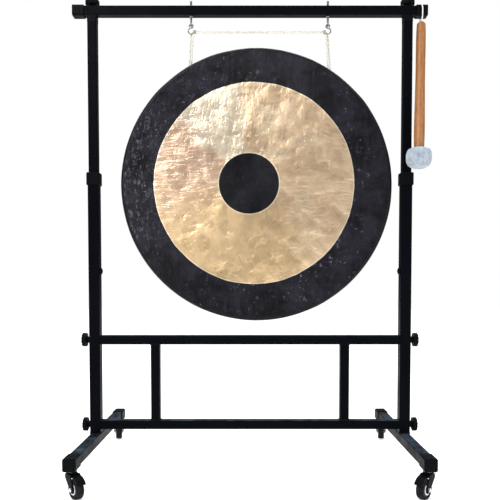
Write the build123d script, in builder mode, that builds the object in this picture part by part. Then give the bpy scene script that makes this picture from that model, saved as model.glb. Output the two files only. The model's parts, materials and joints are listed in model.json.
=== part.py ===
"""A tam tam gong hung in a height-adjustable stand on casters, with its mallet.

Frame: +X to the player's right, +Y to the back, +Z up.  The origin is on the floor,
under the middle of the stand.  All sizes are in millimetres.
"""
import os
from math import asin, cos, degrees, pi, radians, sin, sqrt

from build123d import *

os.makedirs("parts", exist_ok=True)

# ---------------------------------------------------------------- driving dimensions
# Stand
POST_X = 432            # post centre line from the middle
FOOT_FRONT = 270        # reach of a foot in front of the posts, over its cap
FOOT_REAR = 320         # and behind them
FOOT_TOP = 97.5
FOOT_TUBE = 28
LOWER_TUBE = 30
UPPER_TUBE = 25
RAIL_TUBE = 25
WALL = 1.5
LOWER_POST_TOP = 794
UPPER_POST_FOOT = 380
BAR_TOP = 1274
BAR_HALF = 485          # crossbar half length, over its caps
MID_RAIL_Z = 359.5
BOTTOM_RAIL_Z = 121.5
STRUT_X = 264
COLLAR_FOOT = 788
COLLAR_TOP = 822
LOCK_Z = 551

# Fits
FIT = 0.05              # radial clearance of a turning fit
GAP = 0.3               # clearance between faces that move past each other

# Knobs and studs
KNOB_R = 19
KNOB_THICK = 12
KNOB_BOSS_R = 9
SIDE_BOSS = 8.7         # boss length of the knobs on the lower posts
TOP_BOSS = 5
KNOB_LOBES = 10
STUD_R = 4
STUD_IN_KNOB = 5

# Casters
WHEEL_R = 25
WHEEL_W = 20
CASTER_SET_IN = 24      # from the end of the foot to the caster's stem
CASTER_TRAIL = 22
FRONT_TURN = 47         # angle of the front casters' trail from the X axis
REAR_TURN = 102         # and of the rear casters'
HOOD_IN = 3.3           # clearance between the tyre and the hood over it
HOOD_SHEET = 3.6
AXLE_R = 3
STEM_R = 5
FORK_GAP = 22.4
FORK_SHEET = 2

# Gong
GONG_R = 376
GONG_X = 18
GONG_Z = 789
GONG_Y = -12            # front of the gong's face
GONG_RIM = 52           # depth from the face to the edge of the turned-back rim
GONG_SHEET = 2.2
GONG_DOME = 6           # how far the middle of the face stands in front of its edge
CORD_HOLE_R = 8.5
CORD_HOLE_DEPTH = 26    # from the face to the middle of a cord hole

# Hanging hardware
HOOK_X = (-161.5, 213.5)
EYE_WIRE_R = 2.25
EYE_R = 8.25
EYE_Z = 1231.5
BOLT_R = 3
BOLT_TOP = 1290
HOOK_WIRE_R = 1.7
HOOK_TOP_R = 5
HOOK_LOW_R = 8
CORD_R = 2.25

# Mallet
MALLET_X = 470
PIVOT_Z = 1235.5
HEAD_X = 453.8
HEAD_Y = -50.5
HEAD_Z = 852
HEAD_R = 35.2
HEAD_HALF = 26
LOOP_CORD_R = 1.75

# ---------------------------------------------------------------- derived places
FOOT_BASE = FOOT_TOP - FOOT_TUBE
BAR_FOOT = BAR_TOP - RAIL_TUBE
BAR_Z = (BAR_TOP + BAR_FOOT) / 2
PLUG_FLANGE = 17
UPPER_POST_TOP = BAR_FOOT - PLUG_FLANGE
POST_INNER_X = POST_X - LOWER_TUBE / 2
POST_OUTER_X = POST_X + LOWER_TUBE / 2
SIDES = {"left": -1, "right": 1}
CORNERS = {
    "front_left": (-1, -1),
    "front_right": (1, -1),
    "rear_left": (-1, 1),
    "rear_right": (1, 1),
}
FOOT_END = {-1: -FOOT_FRONT, 1: FOOT_REAR}
CASTER_Y = {-1: CASTER_SET_IN - FOOT_FRONT, 1: FOOT_REAR - CASTER_SET_IN}
CASTER_TURN = {-1: FRONT_TURN, 1: REAR_TURN}


def save(piece, name):
    """Label a finished piece and write it as its own STEP file."""
    piece.label = name
    export_step(piece, f"parts/{name}.step")


def tube(start, size, wall, length, corner=2.5):
    """A square tube with rounded corners, extruded from the plane start."""
    with BuildPart() as body:
        with BuildSketch(start):
            RectangleRounded(size, size, corner)
            RectangleRounded(size - 2 * wall, size - 2 * wall, corner - wall + 0.2, mode=Mode.SUBTRACT)
        extrude(amount=length)
    return body.part


def dome_point(radius, height, fraction):
    """Point on a shallow dome, as (r, drop from the top), whose arc is centred on its axis."""
    sphere = (radius ** 2 + height ** 2) / (2 * height)
    r = fraction * radius
    return r, sphere - sqrt(sphere ** 2 - r ** 2)


def rod(start, radius, length, edge=0.4):
    """A round bar with eased ends, extruded from the plane start."""
    with BuildPart() as body:
        with BuildSketch(start):
            Circle(radius)
        extrude(amount=length)
        chamfer(body.edges().filter_by(GeomType.CIRCLE), edge)
    return body.part


def plane_x(x, y, z, direction=1):
    """A plane at x, y, z that faces along +X or -X, with its own x axis along Y."""
    return Plane(origin=(x, y, z), x_dir=(0, 1, 0), z_dir=(direction, 0, 0))


def plane_y(x, y, z, direction=1):
    """A plane at x, y, z that faces along +Y or -Y, with its own x axis along X."""
    return Plane(origin=(x, y, z), x_dir=(1, 0, 0), z_dir=(0, direction, 0))


# ---------------------------------------------------------------- feet
CAP_WALL = 2.5
CAP_END = 3
CAP_LENGTH = 46


def make_foot(side):
    x = SIDES[side] * POST_X
    z = FOOT_TOP - FOOT_TUBE / 2
    with BuildPart() as foot:
        length = FOOT_FRONT + FOOT_REAR - 2 * CAP_END
        add(tube(plane_y(x, CAP_END - FOOT_FRONT, z), FOOT_TUBE, 2, length, 3))
        with Locations(*[(x, y, FOOT_BASE) for y in CASTER_Y.values()]):
            Cylinder(STEM_R + 0.5, 8, mode=Mode.SUBTRACT)
    save(foot.part, f"foot_{side}")


def make_foot_caps():
    """Sleeve caps over the ends of both feet, each drilled for its caster's stem."""
    outer = FOOT_TUBE + 2 * CAP_WALL
    with BuildPart() as caps:
        for side, end in CORNERS.values():
            face = plane_y(side * POST_X, FOOT_END[end], FOOT_TOP - FOOT_TUBE / 2, -end)
            with BuildSketch(face):
                RectangleRounded(outer, outer, 5)
            extrude(amount=CAP_LENGTH)
        chamfer(caps.edges().filter_by(lambda e: e.center().Y < 0.01 - FOOT_FRONT), 1.2)
        chamfer(caps.edges().filter_by(lambda e: e.center().Y > FOOT_REAR - 0.01), 1.2)
        for side, end in CORNERS.values():
            tube_end = FOOT_END[end] - end * CAP_END
            with BuildSketch(plane_y(side * POST_X, tube_end, FOOT_TOP - FOOT_TUBE / 2, -end)):
                RectangleRounded(FOOT_TUBE, FOOT_TUBE, 3)
            extrude(amount=CAP_LENGTH, mode=Mode.SUBTRACT)
            with Locations((side * POST_X, CASTER_Y[end], FOOT_BASE)):
                Cylinder(STEM_R + 0.5, 8, mode=Mode.SUBTRACT)
    save(caps.part, "foot_caps")


# ---------------------------------------------------------------- lower frame
def make_lower_post(side):
    """Outer tube of a telescopic post, drilled for the rails' studs and the height lock."""
    s = SIDES[side]
    with BuildPart() as post:
        add(tube(Plane.XY.offset(FOOT_TOP).move(Location((s * POST_X, 0, 0))), LOWER_TUBE, WALL,
                 LOWER_POST_TOP - FOOT_TOP))
        for z in (MID_RAIL_Z, BOTTOM_RAIL_Z):
            with Locations(Location((s * POST_X, 0, z), (0, 90, 0))):
                Cylinder(STUD_R + FIT, LOWER_TUBE + 2, mode=Mode.SUBTRACT)
        with Locations(Location((s * (POST_INNER_X + 1), 0, LOCK_Z), (0, 90, 0))):
            Cylinder(STUD_R + FIT, 6, mode=Mode.SUBTRACT)
    save(post.part, f"lower_post_{side}")


def make_collars():
    """Moulded guides pressed over the tops of the lower posts, whose lips guide the upper posts."""
    outer = LOWER_TUBE + 6.5
    bore = UPPER_TUBE + 2 * GAP
    with BuildPart() as collars:
        for s in SIDES.values():
            start = Plane.XY.offset(COLLAR_FOOT).move(Location((s * POST_X, 0, 0)))
            with BuildSketch(start):
                RectangleRounded(outer, outer, 5)
            extrude(amount=COLLAR_TOP - COLLAR_FOOT)
        chamfer(collars.edges().group_by(Axis.Z)[-1], 1.5)
        chamfer(collars.edges().group_by(Axis.Z)[0], 0.8)
        for s in SIDES.values():
            start = Plane.XY.offset(COLLAR_FOOT).move(Location((s * POST_X, 0, 0)))
            with BuildSketch(start):
                RectangleRounded(LOWER_TUBE, LOWER_TUBE, 2.5)
            extrude(amount=LOWER_POST_TOP - COLLAR_FOOT, mode=Mode.SUBTRACT)
            with BuildSketch(start):
                RectangleRounded(bore, bore, 2.5 + GAP)
            extrude(amount=COLLAR_TOP - COLLAR_FOOT, mode=Mode.SUBTRACT)
    save(collars.part, "collars")


def make_rail(name, z):
    half = POST_INNER_X
    save(tube(plane_x(-half, 0, z), RAIL_TUBE, WALL, 2 * half), name)


INSERT_LENGTH = 26
INSERT_HOLE = 19


def make_rail_inserts():
    """Threaded blocks pressed into the four rail ends, which the clamping studs screw into."""
    size = RAIL_TUBE - 2 * WALL
    with BuildPart() as inserts:
        for z in (MID_RAIL_Z, BOTTOM_RAIL_Z):
            for s in SIDES.values():
                with BuildSketch(plane_x(s * POST_INNER_X, 0, z, -s)):
                    RectangleRounded(size, size, 1.2)
                extrude(amount=INSERT_LENGTH)
                with BuildSketch(plane_x(s * POST_INNER_X, 0, z, -s)):
                    Circle(STUD_R + FIT)
                extrude(amount=INSERT_HOLE, mode=Mode.SUBTRACT)
    save(inserts.part, "rail_inserts")


def make_struts():
    """Two short uprights between the rails."""
    foot = BOTTOM_RAIL_Z + RAIL_TUBE / 2
    head = MID_RAIL_Z - RAIL_TUBE / 2
    with BuildPart() as struts:
        for s in SIDES.values():
            start = Plane.XY.offset(foot).move(Location((s * STRUT_X, 0, 0)))
            add(tube(start, RAIL_TUBE, WALL, head - foot))
    save(struts.part, "struts")


# ---------------------------------------------------------------- upper frame
def make_upper_post(side):
    start = Plane.XY.offset(UPPER_POST_FOOT).move(Location((SIDES[side] * POST_X, 0, 0)))
    save(tube(start, UPPER_TUBE, WALL, UPPER_POST_TOP - UPPER_POST_FOOT), f"upper_post_{side}")


def make_post_plugs():
    """Moulded plugs in the tops of the upper posts: a flange under the crossbar and a spigot."""
    spigot = UPPER_TUBE - 2 * WALL
    with BuildPart() as plugs:
        for s in SIDES.values():
            centre = Location((s * POST_X, 0, 0))
            with BuildSketch(Plane.XY.offset(UPPER_POST_TOP).move(centre)):
                RectangleRounded(UPPER_TUBE + 1, UPPER_TUBE + 1, 3)
            extrude(amount=PLUG_FLANGE)
            with BuildSketch(Plane.XY.offset(UPPER_POST_TOP).move(centre)):
                RectangleRounded(spigot, spigot, 1.2)
            extrude(amount=-30)
            with BuildSketch(Plane.XY.offset(BAR_FOOT).move(centre)):
                Circle(STUD_R + FIT)
            extrude(amount=-36, mode=Mode.SUBTRACT)
    save(plugs.part, "post_plugs")


BAR_CAP_LENGTH = 31
BAR_CAP_END = 3


def make_crossbar():
    half = BAR_HALF - BAR_CAP_END
    with BuildPart() as bar:
        add(tube(plane_x(-half, 0, BAR_Z), RAIL_TUBE, WALL, 2 * half))
        with Locations((-POST_X, 0, BAR_Z), (POST_X, 0, BAR_Z)):
            Cylinder(STUD_R + FIT, RAIL_TUBE + 2, mode=Mode.SUBTRACT)
        with Locations(*[(x, 0, BAR_Z) for x in HOOK_X]):
            Cylinder(BOLT_R + 0.2, RAIL_TUBE + 2, mode=Mode.SUBTRACT)
    save(bar.part, "crossbar")


def make_bar_caps():
    """Sleeve caps over the two ends of the crossbar."""
    outer = RAIL_TUBE + 5
    with BuildPart() as caps:
        for s in SIDES.values():
            with BuildSketch(plane_x(s * BAR_HALF, 0, BAR_Z, -s)):
                RectangleRounded(outer, outer, 5)
            extrude(amount=BAR_CAP_LENGTH)
        fillet(caps.edges().filter_by(lambda e: abs(abs(e.center().X) - BAR_HALF) < 0.01), 1.8)
        for s in SIDES.values():
            with BuildSketch(plane_x(s * (BAR_HALF - BAR_CAP_END), 0, BAR_Z, -s)):
                RectangleRounded(RAIL_TUBE, RAIL_TUBE, 2.5)
            extrude(amount=BAR_CAP_LENGTH, mode=Mode.SUBTRACT)
    save(caps.part, "bar_caps")


# ---------------------------------------------------------------- knobs, studs and height locks
def knob_head(start, boss):
    """A fluted clamping knob with a boss, built outwards from the plane where its boss ends."""
    with BuildPart() as knob:
        with BuildSketch(start):
            Circle(KNOB_BOSS_R)
        extrude(amount=boss)
        with BuildSketch(start.offset(boss)):
            Circle(KNOB_R)
            with PolarLocations(KNOB_R + 2.2, KNOB_LOBES):
                Circle(4, mode=Mode.SUBTRACT)
        extrude(amount=KNOB_THICK)
        outer = knob.faces().sort_by(Axis(start.origin, start.z_dir))[-1]
        chamfer(outer.edges(), 1.6)
        with BuildSketch(start.offset(boss + KNOB_THICK)):
            Circle(9)
        extrude(amount=-1.2, mode=Mode.SUBTRACT)
        with BuildSketch(start):
            Circle(STUD_R)
        extrude(amount=boss + STUD_IN_KNOB, mode=Mode.SUBTRACT)
    return knob.part


def make_side_knobs(level, z):
    """Left and right clamping knobs of a rail, each with its stud through post and insert."""
    for side, s in SIDES.items():
        start = plane_x(s * (POST_OUTER_X + GAP), 0, z, s)
        save(knob_head(start, SIDE_BOSS), f"{level}_knob_{side}")
        stud_end = POST_INNER_X - INSERT_HOLE + 4
        length = POST_OUTER_X + GAP + SIDE_BOSS + STUD_IN_KNOB - stud_end
        save(rod(plane_x(s * stud_end, 0, z, s), STUD_R, length), f"{level}_stud_{side}")


def make_top_knobs():
    """Knobs that clamp the crossbar down on the posts, each with its stud down into the plug."""
    for side, s in SIDES.items():
        start = Plane.XY.offset(BAR_TOP + GAP).move(Location((s * POST_X, 0, 0)))
        save(knob_head(start, TOP_BOSS), f"top_knob_{side}")
        stud_foot = BAR_FOOT - 30
        length = BAR_TOP + GAP + TOP_BOSS + STUD_IN_KNOB - stud_foot
        save(rod(Plane.XY.offset(stud_foot).move(Location((s * POST_X, 0, 0))), STUD_R, length),
             f"top_stud_{side}")


def make_height_lock(side):
    """A low domed screw on the post's inner face; its tip bears on the upper post inside."""
    s = SIDES[side]
    dome_r = 10.5
    dome = 6.3
    rim = 1.4
    tip = LOWER_TUBE / 2 - UPPER_TUBE / 2 - GAP
    with BuildPart() as lock:
        with BuildSketch(Plane.XZ):
            with BuildLine():
                Polyline((0, 0), (dome_r, 0), (dome_r, rim))
                r, drop = dome_point(dome_r, dome - rim, 0.5)
                ThreePointArc((dome_r, rim), (r, dome - drop), (0, dome))
                Line((0, dome), (0, 0))
            make_face()
        revolve(axis=Axis.Z)
        with BuildSketch(Plane.XY):
            Circle(STUD_R)
        extrude(amount=-(tip + GAP))
    face = plane_x(s * (POST_INNER_X - GAP), 0, LOCK_Z, -s)
    save(lock.part.moved(face.location), f"height_lock_{side}")


# ---------------------------------------------------------------- casters
RACE_R = 13
RACE_TOP = FOOT_BASE - CAP_WALL
RACE_FOOT = RACE_TOP - 3.5
PLATE_FOOT = 56.7
PLATE_TOP = PLATE_FOOT + FORK_SHEET
HOOD_START = 32         # angle above the trail where the hood begins
HOOD_SWEEP = 88


def caster_plane(corner, along=0.0, z=0.0):
    """A level plane on a caster's swivel axis: its x axis is the trail, its y axis the axle."""
    side, end = CORNERS[corner]
    turn = radians(CASTER_TURN[end])
    trail = Vector(-side * cos(turn), end * sin(turn), 0)
    origin = Vector(side * POST_X, CASTER_Y[end], z) + trail * along
    return Plane(origin=origin, x_dir=trail, z_dir=(0, 0, 1))


def axle_plane(corner, offset):
    """A plane square to a caster's axle, offset from the wheel's middle along the axle."""
    level = caster_plane(corner, CASTER_TRAIL, WHEEL_R)
    return Plane(origin=level.origin + level.y_dir * offset, x_dir=level.x_dir, z_dir=level.y_dir)


def make_caster_stems():
    """Fixed stems of the casters, with the upper race under the foot and a rivet head below."""
    with BuildPart() as stems:
        for corner in CORNERS:
            with BuildSketch(caster_plane(corner, z=PLATE_FOOT - GAP - 2.2)):
                Circle(7.5)
            extrude(amount=2.2)
            with BuildSketch(caster_plane(corner, z=PLATE_FOOT - GAP)):
                Circle(STEM_R)
            extrude(amount=FOOT_BASE + 22 - PLATE_FOOT + GAP)
            with BuildSketch(caster_plane(corner, z=RACE_FOOT)):
                Circle(RACE_R)
            extrude(amount=RACE_TOP - RACE_FOOT)
    save(stems.part, "caster_stems")


def make_caster_nuts():
    """Hexagon nuts on the stems, inside the feet."""
    floor = FOOT_BASE + 2
    with BuildPart() as nuts:
        for corner in CORNERS:
            with BuildSketch(caster_plane(corner, z=floor)):
                RegularPolygon(9, 6)
                Circle(STEM_R, mode=Mode.SUBTRACT)
            extrude(amount=8)
    save(nuts.part, "caster_nuts")


def make_caster_fork(corner):
    """Fork: bearing bowl and plate on top, two tapering cheeks and a hood over the wheel."""
    half = FORK_GAP / 2
    hood_r = WHEEL_R + HOOD_IN + HOOD_SHEET / 2
    with BuildPart() as fork:
        with BuildSketch(caster_plane(corner, z=PLATE_FOOT)):
            Circle(half + FORK_SHEET)
            with Locations((9, 0)):
                Rectangle(18, 2 * (half + FORK_SHEET))
        extrude(amount=FORK_SHEET)
        with BuildSketch(caster_plane(corner, z=PLATE_TOP)):
            Circle(RACE_R + 0.5)
        extrude(amount=RACE_FOOT - GAP - PLATE_TOP, taper=8)
        for sign in (-1, 1):
            inner = axle_plane(corner, sign * half)
            cheek = Plane(origin=inner.origin, x_dir=inner.x_dir, z_dir=inner.z_dir * sign)
            up = 1 if cheek.y_dir.Z > 0 else -1
            top = PLATE_TOP - WHEEL_R
            with BuildSketch(cheek):
                with BuildLine():
                    Polyline((-CASTER_TRAIL - 9, up * top), (-4, up * top), (7.5, up * 4),
                             (7.5, -up * 2), (3, -up * 7.5), (-3, -up * 7.5),
                             (-CASTER_TRAIL - 9, up * (top - 9)), close=True)
                make_face()
                Circle(AXLE_R, mode=Mode.SUBTRACT)
            extrude(amount=FORK_SHEET)
        across = axle_plane(corner, -half)
        up = 1 if across.y_dir.Z > 0 else -1
        with BuildSketch(across):
            with BuildLine():
                hood = CenterArc((0, 0), hood_r, up * HOOD_START, up * HOOD_SWEEP)
                offset(hood, amount=HOOD_SHEET / 2, side=Side.BOTH)
            make_face()
        extrude(amount=FORK_GAP)
        with BuildSketch(caster_plane(corner, z=PLATE_FOOT - 1)):
            Circle(STEM_R + FIT)
        extrude(amount=20, mode=Mode.SUBTRACT)
    save(fork.part, f"caster_fork_{corner}")


def make_caster_axle(corner):
    """Axle bolt through the fork, with a domed head and a nut outside the cheeks."""
    outside = FORK_GAP / 2 + FORK_SHEET
    with BuildPart() as axle:
        with BuildSketch(axle_plane(corner, -outside)):
            Circle(AXLE_R)
        extrude(amount=2 * outside)
        with BuildSketch(axle_plane(corner, -outside)):
            RegularPolygon(5.6, 6)
        extrude(amount=-3.2)
        with BuildSketch(axle_plane(corner, outside)):
            RegularPolygon(5.6, 6)
        extrude(amount=3.2)
        with BuildSketch(axle_plane(corner, outside + 3.2)):
            Circle(AXLE_R)
        extrude(amount=1.4)
    save(axle.part, f"caster_axle_{corner}")


TYRE_INNER_R = 15.5


def wheel_location(corner):
    """Place for a wheel that was drawn about the Z axis."""
    return axle_plane(corner, 0).location


def make_caster_tyre(corner):
    half = WHEEL_W / 2
    shoulder = 5
    with BuildPart() as tyre:
        with BuildSketch(Plane.XZ):
            with BuildLine():
                Line((TYRE_INNER_R, -half + 2), (WHEEL_R - shoulder, -half))
                RadiusArc((WHEEL_R - shoulder, -half), (WHEEL_R, -half + shoulder), -shoulder)
                Line((WHEEL_R, -half + shoulder), (WHEEL_R, half - shoulder))
                RadiusArc((WHEEL_R, half - shoulder), (WHEEL_R - shoulder, half), -shoulder)
                Line((WHEEL_R - shoulder, half), (TYRE_INNER_R, half - 2))
                Line((TYRE_INNER_R, half - 2), (TYRE_INNER_R, -half + 2))
            make_face()
        revolve(axis=Axis.Z)
    save(tyre.part.moved(wheel_location(corner)), f"caster_tyre_{corner}")


def make_caster_hub(corner):
    """Hub with a raised bright ring on each side and a running bore for the axle."""
    half = WHEEL_W / 2
    with BuildPart() as hub:
        with BuildSketch(Plane.XZ):
            with BuildLine():
                Polyline((AXLE_R + FIT, -half - 0.6), (6.5, -half - 0.6), (6.5, -half + 3),
                         (10, -half + 3), (10, -half + 0.6), (13, -half + 0.2),
                         (TYRE_INNER_R, -half + 2), (TYRE_INNER_R, half - 2),
                         (13, half - 0.2), (10, half - 0.6), (10, half - 3), (6.5, half - 3),
                         (6.5, half + 0.6), (AXLE_R + FIT, half + 0.6), close=True)
            make_face()
        revolve(axis=Axis.Z)
    save(hub.part.moved(wheel_location(corner)), f"caster_hub_{corner}")


# ---------------------------------------------------------------- gong
def hole_angle(index):
    """Angle from straight up of a cord hole in the rim, under its hook."""
    lean = (-4, 7)[index]
    return degrees(asin((HOOK_X[index] + lean - GONG_X) / (GONG_R - 1)))


def hole_place(index, radius):
    """Point in the middle of a cord hole, at a radius from the gong's centre."""
    angle = radians(hole_angle(index))
    return Vector(GONG_X + radius * sin(angle), GONG_Y + CORD_HOLE_DEPTH, GONG_Z + radius * cos(angle))


def make_gong():
    """Hammered sheet: a slightly domed face, a tight shoulder and a turned-back rim."""
    shoulder = 10
    lean_in = 3
    face_edge = 330
    turn = pi / 4
    with BuildPart() as gong:
        with BuildSketch(Plane.XY):
            with BuildLine():
                middle_r, middle_drop = dome_point(face_edge, GONG_DOME, 0.5)
                for skin in (0, GONG_SHEET):
                    r = shoulder - skin
                    flat = GONG_DOME + skin
                    wall_x = GONG_R - skin
                    ThreePointArc((0, skin), (middle_r, skin + middle_drop), (face_edge, flat))
                    Line((face_edge, flat), (GONG_R - shoulder, flat))
                    ThreePointArc((GONG_R - shoulder, flat),
                                  (GONG_R - shoulder + r * sin(turn), GONG_DOME + shoulder - r * cos(turn)),
                                  (wall_x, GONG_DOME + shoulder))
                    Line((wall_x, GONG_DOME + shoulder), (wall_x - lean_in, GONG_RIM))
                Line((0, 0), (0, GONG_SHEET))
                Line((GONG_R - lean_in, GONG_RIM), (GONG_R - GONG_SHEET - lean_in, GONG_RIM))
            make_face()
        revolve(axis=Axis.Y)
    placed = gong.part.moved(Location((GONG_X, GONG_Y, GONG_Z)))
    with BuildPart() as drilled:
        add(placed)
        for index in (0, 1):
            with Locations(Location(hole_place(index, GONG_R - 2), (0, hole_angle(index), 0))):
                Cylinder(CORD_HOLE_R, 20, mode=Mode.SUBTRACT)
    save(drilled.part, "gong")


# ---------------------------------------------------------------- hanging hardware
COLLAR = 1.5
WASHER = 1
NUT = 3


def make_eye_bolts():
    """Eye bolts through the crossbar, each with a collar below it and its eye edge on to the front."""
    with BuildPart() as bolts:
        for x in HOOK_X:
            with Locations(Location((x, 0, EYE_Z), (0, 90, 0))):
                Torus(EYE_R, EYE_WIRE_R)
            with BuildSketch(Plane.XY.offset(EYE_Z + EYE_R).move(Location((x, 0, 0)))):
                Circle(BOLT_R)
            extrude(amount=BOLT_TOP - EYE_Z - EYE_R)
            with BuildSketch(Plane.XY.offset(BAR_FOOT - COLLAR).move(Location((x, 0, 0)))):
                Circle(BOLT_R + 1.3)
            extrude(amount=COLLAR)
        chamfer(bolts.edges().group_by(Axis.Z)[-1], 0.8)
    save(bolts.part, "eye_bolts")


def make_eye_bolt_fixings():
    """A washer and a low nut above the crossbar on each eye bolt, whose collar bears from below."""
    with BuildPart() as fixings:
        for x in HOOK_X:
            start = Plane.XY.offset(BAR_TOP).move(Location((x, 0, 0)))
            with BuildSketch(start):
                Circle(6.2)
            extrude(amount=WASHER)
            with BuildSketch(start.offset(WASHER)):
                RegularPolygon(5.2, 6)
            extrude(amount=NUT)
            with BuildSketch(start):
                Circle(BOLT_R)
            extrude(amount=WASHER + NUT, mode=Mode.SUBTRACT)
    save(fixings.part, "eye_bolt_fixings")


HOOK_TOP_Z = EYE_Z - EYE_R + EYE_WIRE_R + GAP + HOOK_WIRE_R
HOOK_MEET_Z = HOOK_TOP_Z - 2 * HOOK_TOP_R
HOOK_LOW_Z = HOOK_MEET_Z - HOOK_LOW_R


def on_loop(loop, side, angle):
    """Point on a loop of wire, given as (x, z, radius), at an angle up from its outer side."""
    x, z, radius = loop
    return (x + side * radius * cos(radians(angle)), 0, z + radius * sin(radians(angle)))


def make_s_hooks():
    """S-hooks: a nearly closed loop in the eye and an open loop below for the cord."""
    with BuildPart() as hooks:
        for x, side in zip(HOOK_X, (-1, 1)):
            upper = (x, HOOK_TOP_Z - HOOK_TOP_R, HOOK_TOP_R)
            lower = (x, HOOK_LOW_Z, HOOK_LOW_R)
            with BuildLine() as wire:
                ThreePointArc(on_loop(upper, side, -10), on_loop(upper, side, 130), on_loop(upper, side, 270))
                ThreePointArc(on_loop(lower, side, 90), on_loop(lower, side, -20), on_loop(lower, side, -130))
            with BuildSketch(Plane(origin=wire.line @ 0, z_dir=wire.line % 0)):
                Circle(HOOK_WIRE_R)
            sweep(path=wire.line)
            with Locations(wire.line @ 0, wire.line @ 1):
                Sphere(HOOK_WIRE_R)
    save(hooks.part, "s_hooks")


# ---------------------------------------------------------------- cord of the gong
CORD_LEVEL = HOOK_LOW_Z - 3         # between the two strands
CORD_LIFT = 3                       # of each strand from that level
CORD_SIDE = HOOK_WIRE_R + CORD_R + 1.3
CORD_STEP = 6                       # how far the lower strand turns down inside the upper one
CORD_TURN_R = 7
KNOT_DROP = 11


def cord_length_and_tube(points, radii, radius):
    """A round cord along straight runs and tangent arcs, and the length of its line."""
    with BuildPart() as cord:
        with BuildLine():
            path = FilletPolyline(*points, radius=radii)
        with BuildSketch(Plane(origin=path @ 0, z_dir=path % 0)):
            Circle(radius)
        sweep(path=path)
    return path.length, cord.part


def make_gong_cords():
    """Two strands side by side: up from one cord hole, past both hooks, down to the other.

    The front strand runs lower and turns down nearer the middle than the back one.
    """
    for name, strand in (("front", -1), ("back", 1)):
        left = hole_place(0, GONG_R) - Vector(strand * 2.8, 0, 0)
        right = hole_place(1, GONG_R) + Vector(strand * 2.8, 0, 0)
        level = CORD_LEVEL + strand * CORD_LIFT
        step = CORD_STEP if name == "front" else 0
        points = [
            left - Vector(0, 0, KNOT_DROP),
            Vector(HOOK_X[0] + step, strand * CORD_SIDE, level),
            Vector(HOOK_X[1] - step, strand * CORD_SIDE, level),
            right - Vector(0, 0, KNOT_DROP),
        ]
        length, cord = cord_length_and_tube(points, [CORD_TURN_R, CORD_TURN_R], CORD_R)
        section = pi * CORD_R ** 2
        print(f"cord_{name}: {length:.1f} mm, volume ratio {cord.volume / section / length:.4f}")
        print("   ", [tuple(round(c, 2) for c in p) for p in points])
        save(cord, f"gong_cord_{name}")


def make_hook_knots():
    """Lashing of the two strands to each hook, just inside the hook's open side."""
    with BuildPart() as knots:
        for x, side in zip(HOOK_X, (-1, 1)):
            with Locations(Location((x - side * 9, 0, CORD_LEVEL), (0, 90, 0))):
                Cylinder(CORD_R + 2.6, 7)
                Torus(CORD_R + 2.6, 2)
    save(knots.part, "hook_knots")


def make_rim_knots():
    """Stopper knots of both strands, inside the rim under each cord hole."""
    with BuildPart() as knots:
        for index in (0, 1):
            with Locations(hole_place(index, GONG_R) - Vector(0, 0, KNOT_DROP + 5)):
                Sphere(8.5)
    save(knots.part, "rim_knots")


# ---------------------------------------------------------------- mallet
def mallet_axis_plane(distance):
    """A plane square to the handle, at a distance down from the cord knot at its top."""
    top = Vector(MALLET_X, 0, PIVOT_Z)
    head = Vector(HEAD_X, HEAD_Y, HEAD_Z)
    down = (head - top).normalized()
    return Plane(origin=top + down * distance, x_dir=(1, 0, 0), z_dir=down)


MALLET_LENGTH = sqrt((MALLET_X - HEAD_X) ** 2 + HEAD_Y ** 2 + (PIVOT_Z - HEAD_Z) ** 2)
KNOT_R = 4
HANDLE_TOP = KNOT_R - 0.8
CORE_R = 17
CORE_HALF = 16
SOCKET_R = 13.6
SHOULDER_R = 13


def make_mallet_handle():
    """Turned handle: slim at the top, fullest below the middle, with a tenon in the head."""
    end = MALLET_LENGTH + CORE_HALF - 6
    shoulder = MALLET_LENGTH - HEAD_HALF + 4
    with BuildPart() as handle:
        with BuildSketch(Plane.XZ):
            with BuildLine():
                Line((0, HANDLE_TOP), (4, HANDLE_TOP))
                RadiusArc((4, HANDLE_TOP), (11.8, HANDLE_TOP + 6.5), -8)
                Spline((11.8, HANDLE_TOP + 6.5), (12.8, 110), (13.2, 215), (SHOULDER_R, shoulder),
                       tangents=((0.05, 1), (-0.05, 1)))
                Polyline((SHOULDER_R, shoulder), (7.95, shoulder), (7.95, end), (0, end), (0, HANDLE_TOP))
            make_face()
        revolve(axis=Axis.Z)
    save(handle.part.moved(mallet_axis_plane(0).location), "mallet_handle")


def make_mallet_core():
    """Wooden core of the head, bored for the handle's tenon."""
    with BuildPart() as core:
        with BuildSketch(Plane.XY.offset(MALLET_LENGTH - CORE_HALF)):
            Circle(CORE_R)
        extrude(amount=2 * CORE_HALF)
        fillet(core.edges().filter_by(GeomType.CIRCLE), 4)
        with BuildSketch(Plane.XY.offset(MALLET_LENGTH - CORE_HALF)):
            Circle(8)
        extrude(amount=2 * CORE_HALF - 6, mode=Mode.SUBTRACT)
    save(core.part.moved(mallet_axis_plane(0).location), "mallet_core")


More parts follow.
